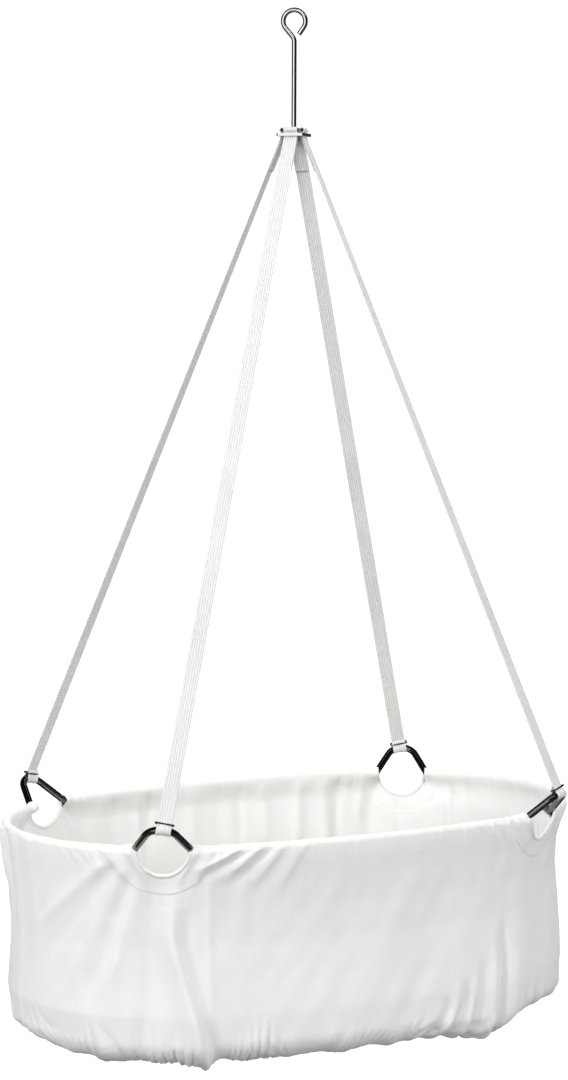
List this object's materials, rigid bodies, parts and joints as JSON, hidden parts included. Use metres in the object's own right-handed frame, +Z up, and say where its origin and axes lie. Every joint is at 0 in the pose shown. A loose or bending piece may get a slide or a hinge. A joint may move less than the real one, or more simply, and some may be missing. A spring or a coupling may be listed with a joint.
{
  "type": "hanging baby cradle",
  "caption": "Hanging canvas baby cradle: soft tub on a steel rim with corner bows, held by webbing straps from a hanger plate that swivels and sways under an eye rod.",
  "frame": {"origin": "top of the inside of the eye, where it rests on its hook", "axes": "+Z up, +X along the cradle's long side, the front long side at -Y"},
  "size_m": [0.8508, 0.4948, 1.4188],
  "materials": {
    "polished_steel": "polished steel tube and rod",
    "dark_wire": "dark polished wire",
    "bearing_nylon": "natural nylon",
    "webbing": "ribbed cotton webbing",
    "canvas": "plain-woven cotton canvas",
    "elastic": "covered elastic cord",
    "plywood": "sanded birch plywood",
    "ticking": "quilted cotton ticking"
  },
  "bodies": {
    "hanger": {"eye_rod": "polished_steel", "rod_nut": "polished_steel"},
    "swivel": {"cup_washer": "polished_steel"},
    "rocker": {"bearing_liner": "bearing_nylon"},
    "cradle": {"dome_washer": "polished_steel", "hanger_plate": "polished_steel", "loop_pin_front_left": "dark_wire", "strap_front_left": "webbing", "strap_keeper_front_left": "dark_wire", "corner_bow_front_left": "polished_steel", "scoop_facing_front_left": "canvas", "loop_pin_front_right": "dark_wire", "strap_front_right": "webbing", "strap_keeper_front_right": "dark_wire", "corner_bow_front_right": "polished_steel", "scoop_facing_front_right": "canvas", "loop_pin_back_left": "dark_wire", "strap_back_left": "webbing", "strap_keeper_back_left": "dark_wire", "corner_bow_back_left": "polished_steel", "scoop_facing_back_left": "canvas", "loop_pin_back_right": "dark_wire", "strap_back_right": "webbing", "strap_keeper_back_right": "dark_wire", "corner_bow_back_right": "polished_steel", "scoop_facing_back_right": "canvas", "front_rail": "polished_steel", "front_sleeve": "canvas", "front_cover": "canvas", "back_rail": "polished_steel", "back_sleeve": "canvas", "back_cover": "canvas", "left_rail": "polished_steel", "left_sleeve": "canvas", "right_rail": "polished_steel", "right_sleeve": "canvas", "base_panel": "canvas", "hem_elastic": "elastic"},
    "board": {"base_board": "plywood"},
    "mattress": {"mattress": "ticking"}
  },
  "joints": [
    {"name": "swivel_turn", "type": "hinge", "parent": "hanger", "child": "swivel", "pos_m": [0, 0, -0.1686], "axis": [0, 0, 1], "continuous": true},
    {"name": "sway_side_to_side", "type": "hinge", "parent": "swivel", "child": "rocker", "pos_m": [0, 0, -0.1686], "axis": [1, 0, 0], "range_deg": [-8, 8]},
    {"name": "sway_end_to_end", "type": "hinge", "parent": "rocker", "child": "cradle", "pos_m": [0, 0, -0.1686], "axis": [0, 1, 0], "range_deg": [-8, 8]},
    {"name": "board_lift", "type": "slide", "parent": "cradle", "child": "board", "axis": [0, 0, 1], "range_m": [0, 0.1]},
    {"name": "mattress_lift", "type": "slide", "parent": "board", "child": "mattress", "axis": [0, 0, 1], "range_m": [0, 0.24]}
  ]
}
